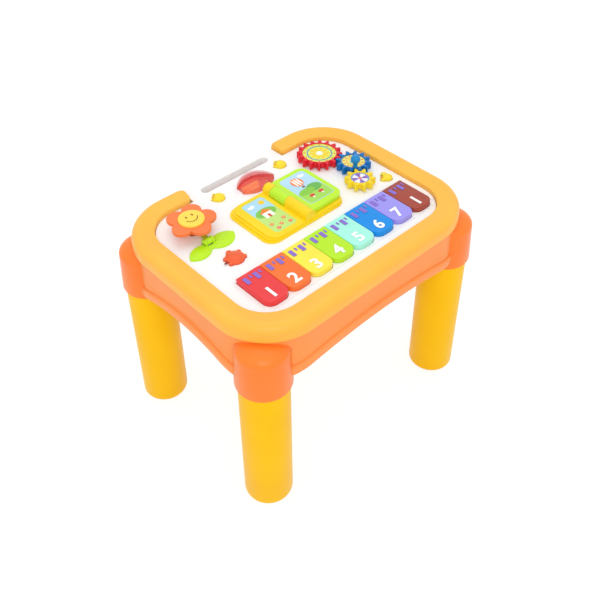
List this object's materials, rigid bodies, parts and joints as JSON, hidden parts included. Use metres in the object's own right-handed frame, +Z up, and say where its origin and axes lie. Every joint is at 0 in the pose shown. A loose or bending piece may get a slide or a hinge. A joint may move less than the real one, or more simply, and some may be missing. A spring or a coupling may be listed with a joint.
{
  "type": "musical activity table",
  "caption": "Low table with plug-in legs and a lift-out play panel: piano keys, meshing gears, a book page that turns, a press flower, animal buttons and a lamp.",
  "frame": {"origin": "on the floor, under the middle of the table", "axes": "+X along the table's long side, to the player's right; +Y to the rear, where the carry handle is; +Z up. The player sits at -Y."},
  "size_m": [0.435, 0.33, 0.3587],
  "materials": {
    "orange_frame": "gloss moulded",
    "yellow_legs": "gloss moulded",
    "white_shell": "gloss moulded",
    "white_base": "fine texture",
    "steel": "zinc plated",
    "cell_jacket": "printed jacket, bare",
    "circuit_green": "solder mask",
    "speaker_black": "paper cone",
    "dome_rubber": "silicone",
    "book_yellow": "gloss moulded",
    "page_green": "gloss moulded",
    "printed_card": "printed card",
    "red_window": "see-through",
    "reflector_white": "satin",
    "insert_yellow": "gloss moulded",
    "lamp_clear": "clear epoxy",
    "leaf_green": "gloss moulded",
    "stem_green": "gloss moulded",
    "petal_orange": "gloss moulded",
    "face_yellow": "gloss moulded",
    "beetle_red": "gloss moulded",
    "chick_yellow": "gloss moulded",
    "gear_red": "gloss moulded",
    "gear_blue": "gloss moulded",
    "gear_yellow": "gloss moulded",
    "knob_blue": "gloss moulded",
    "switch_grey": "satin",
    "key_1_colour": "gloss moulded",
    "key_2_colour": "gloss moulded",
    "key_3_colour": "gloss moulded",
    "key_4_colour": "gloss moulded",
    "key_5_colour": "gloss moulded",
    "key_6_colour": "gloss moulded",
    "key_7_colour": "gloss moulded",
    "key_8_colour": "gloss moulded"
  },
  "bodies": {
    "table": {"table_rim": "orange_frame", "apron": "orange_frame", "leg_socket_front_left": "orange_frame", "leg_socket_front_right": "orange_frame", "leg_socket_rear_left": "orange_frame", "leg_socket_rear_right": "orange_frame", "leg_front_left": "yellow_legs", "leg_front_right": "yellow_legs", "leg_rear_left": "yellow_legs", "leg_rear_right": "yellow_legs", "frame_screws": "steel"},
    "play_panel": {"panel_top": "white_shell", "panel_base": "white_base", "panel_screws": "steel", "battery_door": "white_base", "battery_cells": "cell_jacket", "battery_contacts": "steel", "circuit_board": "circuit_green", "speaker": "speaker_black", "key_pivot_rod": "steel", "key_contact_mat": "dome_rubber", "button_domes": "dome_rubber", "book_tray": "book_yellow", "spine_pin": "steel", "left_page_card": "printed_card", "gear_axles": "steel", "lamp_window": "red_window", "lamp_reflector": "reflector_white", "lamp_insert": "insert_yellow", "lamps": "lamp_clear", "leaves": "leaf_green", "flower_pivot_pin": "steel"},
    "key_body_1": {"key_1": "key_1_colour"},
    "key_body_2": {"key_2": "key_2_colour"},
    "key_body_3": {"key_3": "key_3_colour"},
    "key_body_4": {"key_4": "key_4_colour"},
    "key_body_5": {"key_5": "key_5_colour"},
    "key_body_6": {"key_6": "key_6_colour"},
    "key_body_7": {"key_7": "key_7_colour"},
    "key_body_8": {"key_8": "key_8_colour"},
    "red_gear_body": {"red_gear": "gear_red", "red_gear_disc": "printed_card"},
    "blue_gear_body": {"blue_gear": "gear_blue", "blue_gear_disc": "printed_card", "crank_knob": "knob_blue"},
    "yellow_gear_body": {"yellow_gear": "gear_yellow", "yellow_gear_disc": "printed_card"},
    "page_body": {"book_page": "page_green", "right_page_card": "printed_card"},
    "flower_body": {"flower_petals": "petal_orange", "flower_face": "face_yellow", "flower_stem": "stem_green"},
    "beetle_body": {"beetle_button": "beetle_red"},
    "left_chick_body": {"left_chick_button": "chick_yellow"},
    "right_chick_body": {"right_chick_button": "chick_yellow"},
    "bird_body": {"bird_button": "chick_yellow"},
    "switch_body": {"power_switch": "switch_grey"}
  },
  "joints": [
    {"name": "panel_lift", "type": "slide", "parent": "table", "child": "play_panel", "axis": [0, 0, 1], "range_m": [0, 0.08]},
    {"name": "key_1_press", "type": "hinge", "parent": "play_panel", "child": "key_body_1", "pos_m": [-0.13255, -0.036, 0.3165], "axis": [1, 0, 0], "range_deg": [0, 2.3], "stiffness_Nm_per_rad": 1, "springref_deg": -2.86},
    {"name": "key_2_press", "type": "hinge", "parent": "play_panel", "child": "key_body_2", "pos_m": [-0.09325, -0.036, 0.3165], "axis": [1, 0, 0], "range_deg": [0, 2.3], "stiffness_Nm_per_rad": 1, "springref_deg": -2.86},
    {"name": "key_3_press", "type": "hinge", "parent": "play_panel", "child": "key_body_3", "pos_m": [-0.05395, -0.036, 0.3165], "axis": [1, 0, 0], "range_deg": [0, 2.3], "stiffness_Nm_per_rad": 1, "springref_deg": -2.86},
    {"name": "key_4_press", "type": "hinge", "parent": "play_panel", "child": "key_body_4", "pos_m": [-0.01465, -0.036, 0.3165], "axis": [1, 0, 0], "range_deg": [0, 2.3], "stiffness_Nm_per_rad": 1, "springref_deg": -2.86},
    {"name": "key_5_press", "type": "hinge", "parent": "play_panel", "child": "key_body_5", "pos_m": [0.02465, -0.036, 0.3165], "axis": [1, 0, 0], "range_deg": [0, 2.3], "stiffness_Nm_per_rad": 1, "springref_deg": -2.86},
    {"name": "key_6_press", "type": "hinge", "parent": "play_panel", "child": "key_body_6", "pos_m": [0.06395, -0.036, 0.3165], "axis": [1, 0, 0], "range_deg": [0, 2.3], "stiffness_Nm_per_rad": 1, "springref_deg": -2.86},
    {"name": "key_7_press", "type": "hinge", "parent": "play_panel", "child": "key_body_7", "pos_m": [0.10325, -0.036, 0.3165], "axis": [1, 0, 0], "range_deg": [0, 2.3], "stiffness_Nm_per_rad": 1, "springref_deg": -2.86},
    {"name": "key_8_press", "type": "hinge", "parent": "play_panel", "child": "key_body_8", "pos_m": [0.14255, -0.036, 0.3165], "axis": [1, 0, 0], "range_deg": [0, 2.3], "stiffness_Nm_per_rad": 1, "springref_deg": -2.86},
    {"name": "red_gear_turn", "type": "hinge", "parent": "play_panel", "child": "red_gear_body", "pos_m": [0.12157, 0.08274, 0.33], "axis": [0, 0, 1], "continuous": true},
    {"name": "blue_gear_turn", "type": "hinge", "parent": "play_panel", "child": "blue_gear_body", "pos_m": [0.143, 0.031, 0.33], "axis": [0, 0, 1], "continuous": true},
    {"name": "yellow_gear_turn", "type": "hinge", "parent": "play_panel", "child": "yellow_gear_body", "pos_m": [0.11904, -0.0059, 0.33], "axis": [0, 0, 1], "continuous": true},
    {"name": "page_flip", "type": "hinge", "parent": "play_panel", "child": "page_body", "pos_m": [0.0045, 0.0285, 0.33525], "axis": [0, -1, 0], "range_deg": [0, 178]},
    {"name": "flower_press", "type": "hinge", "parent": "play_panel", "child": "flower_body", "pos_m": [-0.13, 0.039, 0.331], "axis": [-1, 0, 0], "range_deg": [0, 4.5], "stiffness_Nm_per_rad": 2, "springref_deg": -2.29},
    {"name": "beetle_press", "type": "slide", "parent": "play_panel", "child": "beetle_body", "axis": [0, 0, -1], "range_m": [0, 0.002], "stiffness_N_per_m": 500, "springref_m": -0.002},
    {"name": "left_chick_press", "type": "slide", "parent": "play_panel", "child": "left_chick_body", "axis": [0, 0, -1], "range_m": [0, 0.002], "stiffness_N_per_m": 500, "springref_m": -0.002},
    {"name": "right_chick_press", "type": "slide", "parent": "play_panel", "child": "right_chick_body", "axis": [0, 0, -1], "range_m": [0, 0.002], "stiffness_N_per_m": 500, "springref_m": -0.002},
    {"name": "bird_press", "type": "slide", "parent": "play_panel", "child": "bird_body", "axis": [0, 0, -1], "range_m": [0, 0.002], "stiffness_N_per_m": 500, "springref_m": -0.002},
    {"name": "power_slide", "type": "slide", "parent": "play_panel", "child": "switch_body", "axis": [1, 0, 0], "range_m": [0, 0.006]}
  ],
  "couplings": [
    {"joint": "blue_gear_turn", "follows": "red_gear_turn", "ratio": -1.3333},
    {"joint": "yellow_gear_turn", "follows": "red_gear_turn", "ratio": 1.6}
  ]
}
